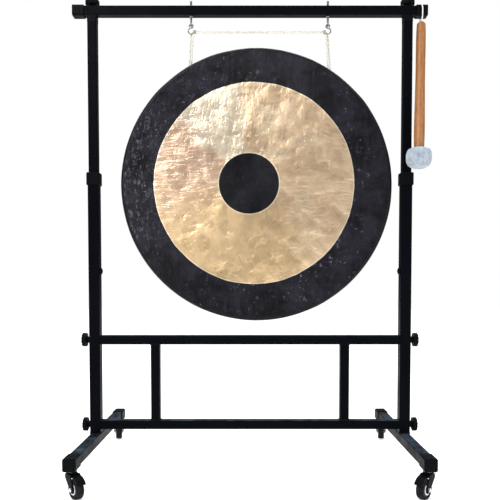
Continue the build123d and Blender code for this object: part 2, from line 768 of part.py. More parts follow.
def make_mallet_cover():
    """Felt cover of the head: a squat bun with a recess round the handle."""
    start = MALLET_LENGTH - HEAD_HALF
    end = MALLET_LENGTH + HEAD_HALF
    with BuildPart() as cover:
        with BuildSketch(Plane.XZ):
            with BuildLine():
                Line((0, start + 4), (15, start + 4))
                Line((15, start + 4), (17, start))
                Spline((17, start), (HEAD_R - 3, start + 9), (HEAD_R, start + 23),
                       (HEAD_R - 5, start + 41), (18, end - 1.5),
                       tangents=((1, 0.1), (-1, 0.1)))
                Line((18, end - 1.5), (0, end))
                Line((0, end), (0, start + 4))
            make_face()
        revolve(axis=Axis.Z)
        with BuildSketch(Plane.XY.offset(start - 1)):
            Circle(SOCKET_R + 0.4)
        extrude(amount=5.1, mode=Mode.SUBTRACT)
        with BuildSketch(Plane.XY.offset(start)):
            Circle(8)
        extrude(amount=20, mode=Mode.SUBTRACT)
        with BuildSketch(Plane.XY.offset(MALLET_LENGTH - CORE_HALF)):
            Circle(CORE_R + 0.05)
        extrude(amount=2 * CORE_HALF, mode=Mode.SUBTRACT)
    save(cover.part.moved(mallet_axis_plane(0).location), "mallet_cover")


def make_mallet_knot():
    """Round knot of the loop on top of the handle; the mallet swings about its middle."""
    with BuildPart() as knot:
        with Locations((MALLET_X, 0, PIVOT_Z)):
            Sphere(KNOT_R)
    save(knot.part, "mallet_knot")


def make_mallet_loop():
    """Cord loop from the knot up the front of the crossbar's cap, over it and down behind."""
    reach = RAIL_TUBE / 2 + 2.5 + LOOP_CORD_R + 1.4
    low = BAR_FOOT - 2.5 - 3
    high = BAR_TOP + 2.5 + LOOP_CORD_R + 0.6
    start = KNOT_R + GAP + 0.2
    points = [
        Vector(MALLET_X, -start * 0.92, PIVOT_Z + start * 0.45),
        Vector(MALLET_X - 0.5, -reach, low),
        Vector(MALLET_X - 2, -reach, high),
        Vector(MALLET_X - 1, reach, high),
        Vector(MALLET_X + 0.5, reach, low),
        Vector(MALLET_X, start * 0.92, PIVOT_Z + start * 0.45),
    ]
    radii = [5, 7, 7, 5]
    length, cord = cord_length_and_tube(points, radii, LOOP_CORD_R)
    section = pi * LOOP_CORD_R ** 2
    print(f"mallet_loop: {length:.1f} mm, volume ratio {cord.volume / section / length:.4f}")
    print("   ", [tuple(round(c, 2) for c in p) for p in points])
    save(cord, "mallet_loop")


# ---------------------------------------------------------------- build everything
for side in SIDES:
    make_foot(side)
    make_lower_post(side)
    make_upper_post(side)
    make_height_lock(side)
make_foot_caps()
make_collars()
make_struts()
make_bar_caps()
make_rail("mid_rail", MID_RAIL_Z)
make_rail("bottom_rail", BOTTOM_RAIL_Z)
make_rail_inserts()
make_post_plugs()
make_crossbar()
make_side_knobs("mid", MID_RAIL_Z)
make_side_knobs("bottom", BOTTOM_RAIL_Z)
make_top_knobs()
make_caster_stems()
make_caster_nuts()
for corner in CORNERS:
    make_caster_fork(corner)
    make_caster_axle(corner)
    make_caster_tyre(corner)
    make_caster_hub(corner)
make_gong()
make_eye_bolts()
make_eye_bolt_fixings()
make_s_hooks()
make_gong_cords()
make_hook_knots()
make_rim_knots()
make_mallet_handle()
make_mallet_core()
make_mallet_cover()
make_mallet_knot()
make_mallet_loop()
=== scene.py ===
import json
import math
import random

import bmesh
import bpy
import numpy as np
from mathutils import Matrix, Vector, noise


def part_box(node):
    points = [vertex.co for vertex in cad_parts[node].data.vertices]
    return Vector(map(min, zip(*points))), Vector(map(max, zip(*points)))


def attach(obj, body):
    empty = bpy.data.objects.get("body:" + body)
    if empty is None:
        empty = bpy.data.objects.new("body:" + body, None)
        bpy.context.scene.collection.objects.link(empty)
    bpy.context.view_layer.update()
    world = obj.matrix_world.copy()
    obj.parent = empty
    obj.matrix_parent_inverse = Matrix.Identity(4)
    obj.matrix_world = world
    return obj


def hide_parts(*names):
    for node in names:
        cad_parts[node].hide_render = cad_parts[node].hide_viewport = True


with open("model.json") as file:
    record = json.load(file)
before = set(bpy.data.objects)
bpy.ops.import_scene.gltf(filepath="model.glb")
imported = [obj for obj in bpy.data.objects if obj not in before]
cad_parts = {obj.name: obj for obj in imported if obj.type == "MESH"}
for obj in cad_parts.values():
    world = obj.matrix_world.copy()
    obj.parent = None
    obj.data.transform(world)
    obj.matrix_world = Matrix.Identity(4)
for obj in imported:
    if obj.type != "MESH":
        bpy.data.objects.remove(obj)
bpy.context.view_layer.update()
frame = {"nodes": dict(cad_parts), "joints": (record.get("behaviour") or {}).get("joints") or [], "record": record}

MM = 0.001
RNG = random.Random(7)
JOINTS = {joint["name"]: joint for joint in frame["joints"]}
CORNERS = ("front_left", "front_right", "rear_left", "rear_right")


# ---------------------------------------------------------------- camera, light and floor
CAMERA_BACK = 1.731      # from the posts' plane
CAMERA_HEIGHT = 0.5224
CAMERA_PITCH = 0.039     # radians below level
LENS = 44.64
SENSOR = 36
SHIFT_Y = 0.1112
FLOOR_SIZE = 14
FLOOR_FRONT = 4          # how far the floor reaches in front of the stand
FLOOR_GLOW = 0.36


def make_camera():
    data = bpy.data.cameras.new("camera")
    data.sensor_width = SENSOR
    data.lens = LENS
    data.shift_y = SHIFT_Y
    data.clip_end = 60      # metres
    camera = bpy.data.objects.new("camera", data)
    camera.location = (0, -CAMERA_BACK, CAMERA_HEIGHT)
    camera.rotation_euler = (math.pi / 2 - CAMERA_PITCH, 0, 0)
    bpy.context.collection.objects.link(camera)
    bpy.context.scene.camera = camera


def make_softbox(name, place, target, size, watts):
    data = bpy.data.lights.new(name, "AREA")
    data.shape = "RECTANGLE"
    data.size, data.size_y = size
    data.energy = watts
    light = bpy.data.objects.new(name, data)
    light.location = place
    light.rotation_mode = "QUATERNION"
    light.rotation_quaternion = (Vector(target) - Vector(place)).to_track_quat("-Z", "Y")
    bpy.context.collection.objects.link(light)


def world_ramp(tree, value, span, strength):
    """Light that changes smoothly from strength[0] to strength[1] as value crosses span."""
    ramp = tree.nodes.new("ShaderNodeMapRange")
    ramp.interpolation_type = "SMOOTHSTEP"
    tree.links.new(value, ramp.inputs["Value"])
    sockets = ("From Min", "From Max", "To Min", "To Max")
    for socket, number in zip(sockets, (*span, *strength)):
        ramp.inputs[socket].default_value = number
    return ramp.outputs["Result"]


def make_surround():
    """A white surround for the camera; as light it is dim in front, dimmer behind and bright above."""
    world = bpy.data.worlds.new("studio")
    bpy.context.scene.world = world
    world.use_nodes = True
    tree = world.node_tree
    direction = tree.nodes.new("ShaderNodeTexCoord")
    parts = tree.nodes.new("ShaderNodeSeparateXYZ")
    tree.links.new(direction.outputs["Generated"], parts.inputs[0])
    strength = tree.nodes.new("ShaderNodeMath")
    front_to_back = world_ramp(tree, parts.outputs["Y"], (-0.7, 0.2), (0.34, 0.14))
    tree.links.new(front_to_back, strength.inputs[0])
    overhead = world_ramp(tree, parts.outputs["Z"], (0.12, 0.85), (0.0, 1.0))
    tree.links.new(overhead, strength.inputs[1])
    lit = tree.nodes["Background"]
    lit.inputs["Color"].default_value = (0.96, 0.98, 1.0, 1)
    tree.links.new(strength.outputs[0], lit.inputs["Strength"])
    seen = tree.nodes.new("ShaderNodeBackground")
    seen.inputs["Color"].default_value = (1, 1, 1, 1)
    path = tree.nodes.new("ShaderNodeLightPath")
    mixed = tree.nodes.new("ShaderNodeMixShader")
    tree.links.new(path.outputs["Is Camera Ray"], mixed.inputs["Fac"])
    tree.links.new(lit.outputs["Background"], mixed.inputs[1])
    tree.links.new(seen.outputs["Background"], mixed.inputs[2])
    tree.links.new(mixed.outputs["Shader"], tree.nodes["World Output"].inputs["Surface"])


def make_floor():
    """A pale floor that glows a little, so that it fades into the surround."""
    bpy.ops.mesh.primitive_plane_add(size=FLOOR_SIZE, location=(0, FLOOR_SIZE / 2 - FLOOR_FRONT, 0))
    floor = bpy.context.object
    floor.name = "floor"
    paint = Shader("floor_paint", base=(0.9, 0.9, 0.9), roughness=0.8, Specular_IOR_Level=0.1)
    paint.set("Emission Color", (1, 1, 1, 1))
    paint.set("Emission Strength", FLOOR_GLOW)
    paint.use_on(floor)


def make_studio():
    """Softboxes from the front left, the right and above, in a pale surround over a pale floor."""
    bpy.context.scene.view_settings.view_transform = "Standard"
    gong_height = (0.0, 0.0, 0.8)
    make_softbox("key_light", (-1.5, -2.2, 2.5), gong_height, size=(1.3, 1.1), watts=58)
    make_softbox("fill_light", (2.6, -1.9, 1.3), gong_height, size=(0.7, 1.8), watts=22)
    make_softbox("top_light", (0.0, 0.9, 3.2), (0.0, 0.0, 0.0), size=(2.6, 2.0), watts=62)
    make_surround()
    make_floor()


# ---------------------------------------------------------------- material building
class Shader:
    """A material with one Principled shader, and short ways to add nodes in front of it."""

    def __init__(self, name, base=(0.8, 0.8, 0.8), roughness=0.5, metallic=0.0, **sockets):
        self.material = bpy.data.materials.new(name)
        self.material.use_nodes = True
        self.tree = self.material.node_tree
        self.principled = self.tree.nodes["Principled BSDF"]
        self.set("Base Color", (*base, 1))
        self.set("Roughness", roughness)
        self.set("Metallic", metallic)
        for socket, value in sockets.items():
            self.set(socket.replace("_", " "), value)
        self.position = self.node("ShaderNodeTexCoord").outputs["Object"]

    def set(self, socket, value):
        self.feed(self.principled.inputs[socket], value)

    def node(self, kind, **settings):
        made = self.tree.nodes.new(kind)
        for key, value in settings.items():
            setattr(made, key, value)
        return made

    def feed(self, socket, value):
        if isinstance(value, bpy.types.NodeSocket):
            self.tree.links.new(value, socket)
        else:
            socket.default_value = value

    def noise(self, scale, detail=2.0, roughness=0.5, distortion=0.0, at=None):
        made = self.node("ShaderNodeTexNoise")
        self.feed(made.inputs["Vector"], at or self.position)
        made.inputs["Scale"].default_value = scale
        made.inputs["Detail"].default_value = detail
        made.inputs["Roughness"].default_value = roughness
        made.inputs["Distortion"].default_value = distortion
        return made.outputs["Fac"]

    def cells(self, scale):
        made = self.node("ShaderNodeTexVoronoi")
        self.feed(made.inputs["Vector"], self.position)
        made.inputs["Scale"].default_value = scale
        return made.outputs["Distance"]

    def stretched(self, scale, turn=(0, 0, 0)):
        """The object's coordinates, turned and then scaled, for long grain."""
        made = self.node("ShaderNodeMapping", vector_type="POINT")
        self.feed(made.inputs["Vector"], self.position)
        made.inputs["Rotation"].default_value = turn
        made.inputs["Scale"].default_value = scale
        return made.outputs["Vector"]

    def math(self, operation, a, b=0.0):
        made = self.node("ShaderNodeMath", operation=operation)
        self.feed(made.inputs[0], a)
        self.feed(made.inputs[1], b)
        return made.outputs[0]

    def times(self, a, b):
        return self.math("MULTIPLY", a, b)

    def step(self, value, low, high, to_low=0.0, to_high=1.0):
        """A smooth change from to_low to to_high as value goes from low to high."""
        made = self.node("ShaderNodeMapRange", interpolation_type="SMOOTHSTEP")
        self.feed(made.inputs["Value"], value)
        made.inputs["From Min"].default_value = low
        made.inputs["From Max"].default_value = high
        made.inputs["To Min"].default_value = to_low
        made.inputs["To Max"].default_value = to_high
        return made.outputs["Result"]

    def mix(self, factor, a, b):
        made = self.node("ShaderNodeMix", data_type="RGBA")
        self.feed(made.inputs["Factor"], factor)
        for socket, value in (("A", a), ("B", b)):
            found = [s for s in made.inputs if s.name == socket and s.type == "RGBA"][0]
            self.feed(found, value if isinstance(value, bpy.types.NodeSocket) else (*value, 1))
        return [s for s in made.outputs if s.type == "RGBA"][0]

    def tint(self, base, colour, mask, amount):
        """base, moved towards colour by amount where mask is 1."""
        return self.mix(self.times(mask, amount), base, colour)

    def toward(self, angle, degrees, low, high):
        """1 where angle is near degrees: low and high are cosines of the distance from it."""
        away = self.math("SUBTRACT", angle, math.radians(degrees))
        return self.step(self.math("COSINE", away), low, high)

    def bump(self, height, distance, strength, under=None):
        made = self.node("ShaderNodeBump")
        self.feed(made.inputs["Height"], height)
        made.inputs["Distance"].default_value = distance
        made.inputs["Strength"].default_value = strength
        if under is not None:
            self.feed(made.inputs["Normal"], under)
        return made.outputs["Normal"]

    def upward(self):
        """How far the surface faces up, from 0 to 1."""
        normal = self.node("ShaderNodeNewGeometry").outputs["Normal"]
        parts = self.node("ShaderNodeSeparateXYZ")
        self.feed(parts.inputs[0], normal)
        return self.step(parts.outputs["Z"], 0.5, 0.98)

    def radius_about(self, centre):
        """Distance of the surface from the line through centre along Y, and the way out from it."""
        away = self.node("ShaderNodeVectorMath", operation="SUBTRACT")
        self.feed(away.inputs[0], self.position)
        away.inputs[1].default_value = centre
        flat = self.node("ShaderNodeVectorMath", operation="MULTIPLY")
        self.feed(flat.inputs[0], away.outputs["Vector"])
        flat.inputs[1].default_value = (1, 0, 1)
        length = self.node("ShaderNodeVectorMath", operation="LENGTH")
        self.feed(length.inputs[0], flat.outputs["Vector"])
        return length.outputs["Value"], flat.outputs["Vector"]

    def use_on(self, *objects):
        for obj in objects:
            obj.data.materials.clear()
            obj.data.materials.append(self.material)
        return self


def powder_coat():
    """Near-black satin powder coat: orange peel, faint cloudiness, dust on top that is also a painted pale
    reflection there, and light scuffs.
    """
    paint = Shader("powder_coat", Specular_IOR_Level=0.02)
    cloud = paint.noise(5, detail=4)
    base = paint.mix(cloud, (0.0009, 0.0012, 0.0019), (0.0030, 0.0037, 0.0055))
    # Dust on the upward faces, partly painted reflection: its pale slate-blue stands in for the sheen of the
    # surround on the tops.
    dust = paint.times(paint.upward(), paint.step(paint.noise(38, detail=5), 0.25, 0.8))
    base = paint.mix(dust, base, (0.050, 0.070, 0.095))
    scuff_at = paint.stretched((240, 240, 14))
    scuff = paint.step(paint.noise(1.0, detail=3, at=scuff_at), 0.69, 0.78)
    scuff = paint.times(scuff, paint.step(paint.noise(9), 0.5, 0.7))
    paint.set("Base Color", paint.tint(base, (0.030, 0.031, 0.035), scuff, 0.5))
    rough = paint.step(paint.noise(16, detail=6, roughness=0.6), 0.3, 0.75, 0.33, 0.5)
    paint.set("Roughness", paint.math("ADD", rough, paint.times(dust, 0.16)))
    peel = paint.noise(620, detail=1.5)
    paint.set("Normal", paint.bump(peel, 0.00012, 0.55))
    return paint


def moulded_plastic():
    """Black moulded plastic with a spark-eroded grain."""
    paint = Shader("moulded_black", Specular_IOR_Level=0.04)
    cloud = paint.noise(24, detail=4)
    base = paint.mix(cloud, (0.0012, 0.0013, 0.0018), (0.0038, 0.0040, 0.0050))
    rub = paint.step(paint.noise(70, detail=5, roughness=0.65), 0.62, 0.74)
    paint.set("Base Color", paint.tint(base, (0.020, 0.020, 0.022), rub, 0.35))
    paint.set("Roughness", paint.step(paint.noise(130, detail=3), 0.3, 0.7, 0.4, 0.58))
    paint.set("Normal", paint.bump(paint.cells(1500), 0.00008, 0.5))
    return paint


def zinc_plate():
    """Dull zinc plating, darkened in spots."""
    paint = Shader("zinc", metallic=1.0)
    spots = paint.step(paint.noise(210, detail=5, roughness=0.6), 0.42, 0.72)
    paint.set("Base Color", paint.mix(spots, (0.30, 0.305, 0.31), (0.10, 0.10, 0.104)))
    paint.set("Roughness", paint.step(paint.noise(340, detail=3), 0.3, 0.7, 0.26, 0.46))
    paint.set("Normal", paint.bump(paint.noise(900, detail=2), 0.00005, 0.5))
    return paint


def bright_metal():
    """Polished metal of the axles and the rings on the wheels."""
    paint = Shader("bright_steel", metallic=1.0)
    cloud = paint.noise(260, detail=4)
    paint.set("Base Color", paint.mix(cloud, (0.58, 0.60, 0.62), (0.78, 0.79, 0.80)))
    paint.set("Roughness", paint.step(paint.noise(420, detail=4), 0.3, 0.75, 0.16, 0.34))
    return paint


def tyre_rubber():
    """Matt rubber, dusty and lightly scuffed on the tread."""
    paint = Shader("tyre_rubber", Specular_IOR_Level=0.12)
    dust = paint.step(paint.noise(85, detail=6, roughness=0.65), 0.45, 0.75)
    paint.set("Base Color", paint.mix(dust, (0.005, 0.005, 0.006), (0.022, 0.022, 0.025)))
    paint.set("Roughness", paint.step(paint.noise(190, detail=4), 0.3, 0.7, 0.6, 0.88))
    paint.set("Normal", paint.bump(paint.noise(1300, detail=3), 0.0001, 0.6))
    return paint


def hub_plastic():
    """Dark grey nylon of the wheel hubs."""
    paint = Shader("hub_plastic", Specular_IOR_Level=0.4)
    cloud = paint.noise(120, detail=4)
    paint.set("Base Color", paint.mix(cloud, (0.008, 0.008, 0.009), (0.020, 0.020, 0.022)))
    paint.set("Roughness", paint.step(paint.noise(260, detail=3), 0.3, 0.7, 0.35, 0.55))
    paint.set("Normal", paint.bump(paint.noise(1100, detail=2), 0.00005, 0.5))
    return paint


# ---------------------------------------------------------------- small mesh helpers
def add_piece(name, verts, faces):
    mesh = bpy.data.meshes.new(name)
    mesh.from_pydata([tuple(v) for v in verts], [], faces)
    mesh.update()
    mesh.polygons.foreach_set("use_smooth", [True] * len(mesh.polygons))
    obj = bpy.data.objects.new(name, mesh)
    bpy.context.collection.objects.link(obj)
    return obj


def taken_apart(obj):
    """Vertices and faces of a piece made only to be joined to others; the piece itself goes."""
    verts = [v.co.copy() for v in obj.data.vertices]
    faces = [tuple(p.vertices) for p in obj.data.polygons]
    bpy.data.objects.remove(obj)
    return verts, faces


def mend_normals(obj, fill=False):
    """Turn the faces outward, once the open ends are closed if fill says so."""
    mesh = bmesh.new()
    mesh.from_mesh(obj.data)
    if fill:
        bmesh.ops.holes_fill(mesh, edges=mesh.edges)
    bmesh.ops.recalc_face_normals(mesh, faces=mesh.faces)
    mesh.to_mesh(obj.data)
    mesh.free()


def grid_faces(rows, columns, offset=0):
    """Quads of a grid of rows by columns, with the last column joined to the first."""
    faces = []
    for i in range(rows - 1):
        for j in range(columns):
            a = offset + i * columns + j
            b = offset + i * columns + (j + 1) % columns
            faces.append((a, b, b + columns, a + columns))
    return faces


def lathe(name, profile, place, segments=64, shape=None):
    """A turned piece: profile is (radius, height) pairs, place puts the +Z axis where it belongs."""
    verts = []
    for i, (r, h) in enumerate(profile):
        for j in range(segments):
            a = 2 * math.pi * j / segments
            point = Vector((r * math.cos(a), r * math.sin(a), h))
            verts.append(place @ (shape(point, i, a) if shape else point))
    return add_piece(name, verts, grid_faces(len(profile), segments))


def frames_along(path):
    """Centre, side and up at each point of a path, turning as little as possible."""
    points = [Vector(p) for p in path]
    tangents = []
    for i in range(len(points)):
        ahead = points[min(i + 1, len(points) - 1)]
        behind = points[max(i - 1, 0)]
        tangents.append((ahead - behind).normalized())
    side = tangents[0].orthogonal().normalized()
    found = []
    for point, tangent in zip(points, tangents):
        side = (side - tangent * side.dot(tangent)).normalized()
        found.append((point, side, tangent.cross(side)))
    return found


def tube_mesh(path, radius, segments=8, closed=False):
    """Vertices and faces of a round tube with closed ends along path."""
    verts = []
    for point, side, up in frames_along(path):
        for j in range(segments):
            a = 2 * math.pi * j / segments
            verts.append(point + (side * math.cos(a) + up * math.sin(a)) * radius)
    rows = len(path)
    faces = grid_faces(rows, segments)
    if closed:
        for j in range(segments):
            k = (j + 1) % segments
            last = (rows - 1) * segments
            faces.append((last + j, last + k, k, j))
    else:
        faces.append(tuple(range(segments - 1, -1, -1)))
        faces.append(tuple((rows - 1) * segments + j for j in range(segments)))
    return verts, faces


def joined(name, parts):
    """One piece from several (vertices, faces) pairs."""
    verts, faces = [], []
    for some, quads in parts:
        start = len(verts)
        verts.extend(some)
        faces.extend(tuple(start + i for i in face) for face in quads)
    return add_piece(name, verts, faces)


def resample(path, spacing):
    """The same line with points at an even spacing."""
    points = np.array([tuple(p) for p in path])
    gaps = np.linalg.norm(np.diff(points, axis=0), axis=1)
    along = np.concatenate([[0], np.cumsum(gaps)])
    count = max(4, int(along[-1] / spacing))
    wanted = np.linspace(0, along[-1], count)
    return [Vector([np.interp(t, along, points[:, k]) for k in range(3)]) for t in wanted]


def smooth_route(points):
    """Points along the NURBS spline that has these control points."""
    curve = bpy.data.curves.new("route", "CURVE")
    curve.dimensions = "3D"
    curve.resolution_u = 24
    spline = curve.splines.new("NURBS")
    spline.points.add(len(points) - 1)
    for control, place in zip(spline.points, points):
        control.co = (*place, 1)
    spline.order_u = 3
    spline.use_endpoint_u = True
    holder = bpy.data.objects.new("route", curve)
    bpy.context.collection.objects.link(holder)
    bpy.context.view_layer.update()
    mesh = bpy.data.meshes.new_from_object(holder)
    path = [v.co.copy() for v in mesh.vertices]
    bpy.data.objects.remove(holder)
    bpy.data.meshes.remove(mesh)
    return path


STRANDS = 3
LAY = 6.0                # length of one turn of a cord's strands, in cord radii
STRAND_SHARE = 0.535     # a strand's radius, in cord radii


def twisted_cord(name, path, radius):
    """A laid cord: strands wound round the path."""
    strand_r = radius * STRAND_SHARE
    orbit = radius - strand_r
    path = resample(path, radius * 0.45)
    axes = frames_along(path)
    step = (path[1] - path[0]).length
    parts = []
    for k in range(STRANDS):
        wound = []
        for i, (point, side, up) in enumerate(axes):
            a = 2 * math.pi * (k / STRANDS + i * step / (LAY * radius))
            wound.append(point + (side * math.cos(a) + up * math.sin(a)) * orbit)
        parts.append(tube_mesh(wound, strand_r, 7))
    return joined(name, parts)


def cord_fibre(name, colour, dark):
    """Twisted cotton or nylon cord: soiled patches and a fine fibrous roughness."""
    paint = Shader(name, roughness=0.85, Specular_IOR_Level=0.25, Sheen_Weight=0.35, Sheen_Roughness=0.5)
    soil = paint.step(paint.noise(160, detail=5, roughness=0.6), 0.35, 0.8)
    paint.set("Base Color", paint.mix(soil, colour, dark))
    paint.set("Normal", paint.bump(paint.noise(2600, detail=2), 0.0001, 0.7))
    return paint


# ---------------------------------------------------------------- gong
GONG_LOW, GONG_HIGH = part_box("gong")
GONG_CENTRE = (GONG_LOW + GONG_HIGH) / 2
GONG_RADIUS = (GONG_HIGH.x - GONG_LOW.x) / 2
SHEET = 2.2 * MM
BAND_RADIUS = 277 * MM
BAND_SHIFT = Vector((-6.8 * MM, 0, 3.2 * MM))     # the lathed band sits a little off the gong's centre
DISC_RADIUS = 83 * MM
DISC_SHIFT = Vector((-21 * MM, 0, 3.2 * MM))      # and the dark disc a little more
DOME = 6 * MM
SHOULDER = 10 * MM
FACE_EDGE = 330 * MM
RIM_DRAFT = 3 * MM       # the rim draws in this much towards its open edge
SEAM = 0.6 * MM          # half the width over which scale turns to bright metal
LATHE_PITCH = 1.3 * MM
GONG_SEGMENTS = 640
# hammer marks: how many, from and to which radius (m), sizes (mm) and depths (mm)
HAMMER_ZONES = (
    (210, 0.02, 0.085, (9, 17), (0.05, 0.16)),
    (330, 0.085, 0.17, (9, 20), (0.12, 0.42)),
    (520, 0.17, 0.278, (9, 24), (0.15, 0.62)),
    (900, 0.278, 0.366, (7, 15), (0.14, 0.42)),
)
HOLE_DEPTH = 26 * MM     # of the cord holes, behind the face
HOLE_RADIUS = 8.5 * MM
HOLE_REACH = 9 * MM      # half the length of the tool that cuts them
HOLE_X = (-165.5 * MM, 220.5 * MM)


def gong_profile():
    """(radius, depth) from the middle of the face out to the rim, then the turned-back rim."""
    sphere = (FACE_EDGE ** 2 + DOME ** 2) / (2 * DOME)
    rim_depth = GONG_HIGH.y - GONG_LOW.y
    bend_depth = DOME + SHOULDER
    profile = []
    for r in np.linspace(1.5 * MM, FACE_EDGE, 150):
        profile.append((r, sphere - math.sqrt(sphere ** 2 - r * r)))
    for r in np.linspace(FACE_EDGE, GONG_RADIUS - SHOULDER, 17)[1:]:
        profile.append((r, DOME))
    for a in np.linspace(0, math.pi / 2, 9)[1:]:
        r = GONG_RADIUS - SHOULDER + SHOULDER * math.sin(a)
        profile.append((r, DOME + SHOULDER * (1 - math.cos(a))))
    for t in np.linspace(0, 1, 14)[1:]:
        profile.append((GONG_RADIUS - RIM_DRAFT * t, bend_depth + (rim_depth - bend_depth) * t))
    return np.array(profile)


def hammer_field(x, z):
    """Depth of the hammer marks at each point of the face, in metres: broad waves and many dents."""
    rng = np.random.default_rng(11)
    depth = np.zeros_like(x)
    radius = np.hypot(x, z)
    for count, inner, outer, sizes, depths in HAMMER_ZONES:
        spread = np.sqrt(rng.uniform(inner ** 2, outer ** 2, count))
        angle = rng.uniform(0, 2 * math.pi, count)
        size = rng.uniform(*sizes, count) * MM
        deep = rng.uniform(*depths, count) * MM
        long = rng.uniform(1.0, 2.3, count)
        for r, a, s, d, stretch in zip(spread, angle, size, deep, long):
            dx, dz = x - r * math.cos(a), z - r * math.sin(a)
            near = dx * dx + dz * dz < (2.6 * s * stretch) ** 2
            along = dx[near] * math.cos(a) + dz[near] * math.sin(a)
            across = -dx[near] * math.sin(a) + dz[near] * math.cos(a)
            q = (along / (s * stretch)) ** 2 + (across / s) ** 2
            depth[near] += d * (1 - 0.75 * q) * np.exp(-q)
    broad = np.zeros_like(x)
    for _ in range(14):
        direction = rng.uniform(0, 2 * math.pi)
        wave = rng.uniform(30, 75)
        phase = rng.uniform(0, 2 * math.pi)
        broad += np.sin(wave * (x * math.cos(direction) + z * math.sin(direction)) + phase)
    return depth + 0.16 * MM * broad * np.clip(radius / 0.1, 0.2, 1)


def make_gong():
    """The hammered sheet with its front, its back and the rim, and the cord holes cut through."""
    segments = GONG_SEGMENTS
    profile = gong_profile()
    rows = len(profile)
    angles = np.linspace(0, 2 * math.pi, segments, endpoint=False)
    cosines, sines = np.cos(angles), np.sin(angles)
    r = profile[:, 0][:, None]
    front_y = profile[:, 1][:, None]
    x, z = r * cosines, r * sines
    dents = hammer_field(x.ravel(), z.ravel()).reshape(x.shape)
    slope = np.gradient(profile, axis=0)
    normal = np.stack([slope[:, 1], -slope[:, 0]], 1)
    normal /= np.linalg.norm(normal, axis=1)[:, None]
    surface = []
    for skin in (0.0, SHEET):
        inward = skin + dents * np.where(front_y > 0.012, 0.4, 1.0)
        radial = r - normal[:, 0][:, None] * inward
        depth = front_y - normal[:, 1][:, None] * inward
        surface.append(np.stack([radial * cosines, depth, radial * sines], -1).reshape(-1, 3))
    origin = np.array((GONG_CENTRE.x, GONG_LOW.y, GONG_CENTRE.z))
    verts = np.concatenate(surface) + origin
    count = rows * segments
    faces = [tuple(reversed(f)) for f in grid_faces(rows, segments)]
    faces += grid_faces(rows, segments, offset=count)
    front_count = len(faces) // 2
    rim = (rows - 1) * segments
    for j in range(segments):
        k = (j + 1) % segments
        faces.append((rim + k, rim + j, count + rim + j, count + rim + k))
    faces.append(tuple(range(segments)))
    faces.append(tuple(count + j for j in range(segments - 1, -1, -1)))
    gong = add_piece("gong_sheet", verts, faces)
    gong.data.materials.append(gong_face_paint().material)
    gong.data.materials.append(gong_back_paint().material)
    back_count = len(faces) - front_count - 2      # the last two faces fill the middles of both sides
    sides = [0] * front_count + [1] * back_count + [0, 1]
    gong.data.polygons.foreach_set("material_index", sides)
    mend_normals(gong)
    cut_cord_holes(gong)
    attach(gong, "gong")
    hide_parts("gong")


def cut_cord_holes(gong):
    """Cut the two holes through the rim where the cords go in."""
    for x in HOLE_X:
        angle = math.asin((x - GONG_CENTRE.x) / (GONG_RADIUS - MM))
        out = Vector((math.sin(angle), 0, math.cos(angle)))
        middle = Vector((GONG_CENTRE.x, GONG_LOW.y + HOLE_DEPTH, GONG_CENTRE.z))
        middle += out * (GONG_RADIUS - 2 * MM)
        place = Matrix.Translation(middle) @ Matrix.Rotation(angle, 4, "Y")
        cutter = lathe("cutter", [(HOLE_RADIUS, -HOLE_REACH), (HOLE_RADIUS, HOLE_REACH)], place, 40)
        mend_normals(cutter, fill=True)
        cut = gong.modifiers.new("hole", "BOOLEAN")
        cut.operation = "DIFFERENCE"
        cut.solver = "EXACT"
        cut.object = cutter
        graph = bpy.context.evaluated_depsgraph_get()
        done = bpy.data.meshes.new_from_object(gong.evaluated_get(graph))
        gong.modifiers.clear()
        gong.data = done
        bpy.data.objects.remove(cutter)


def scale_colour(paint):
    """Dark forge scale: charcoal with a violet cast, streaks, pale flecks, and scratches shown only towards the
    left edge, paler there as painted light from the left.
    """
    cloud = paint.noise(11, detail=6, roughness=0.62, distortion=0.5)
    base = paint.mix(paint.step(cloud, 0.36, 0.68), (0.0012, 0.0011, 0.0022), (0.014, 0.0128, 0.020))
    streak = paint.noise(1.0, detail=5, roughness=0.65, at=paint.stretched((95, 40, 22)))
    streak = paint.step(streak, 0.5, 0.78)
    base = paint.tint(base, (0.026, 0.024, 0.034), streak, 0.5)
    fleck = paint.step(paint.noise(88, detail=8, roughness=0.76), 0.575, 0.66)
    fleck = paint.times(fleck, paint.step(paint.noise(4.5, detail=3), 0.40, 0.66))
    base = paint.mix(fleck, base, (0.115, 0.112, 0.138))
    parts = paint.node("ShaderNodeSeparateXYZ")
    paint.feed(parts.inputs[0], paint.position)
    # Scratches, partly painted light: kept to the left side and made paler there as if lit by grazing light from
    # the left.
    left = paint.step(parts.outputs["X"], GONG_LOW.x + 0.005, GONG_LOW.x + 0.15, 1, 0)
    scratch = paint.noise(1.0, detail=7, roughness=0.74, at=paint.stretched((150, 60, 60)))
    scratch = paint.step(scratch, 0.53, 0.66)
    worn = paint.times(paint.times(left, scratch), 0.75)
    return paint.mix(worn, base, (0.150, 0.150, 0.175))


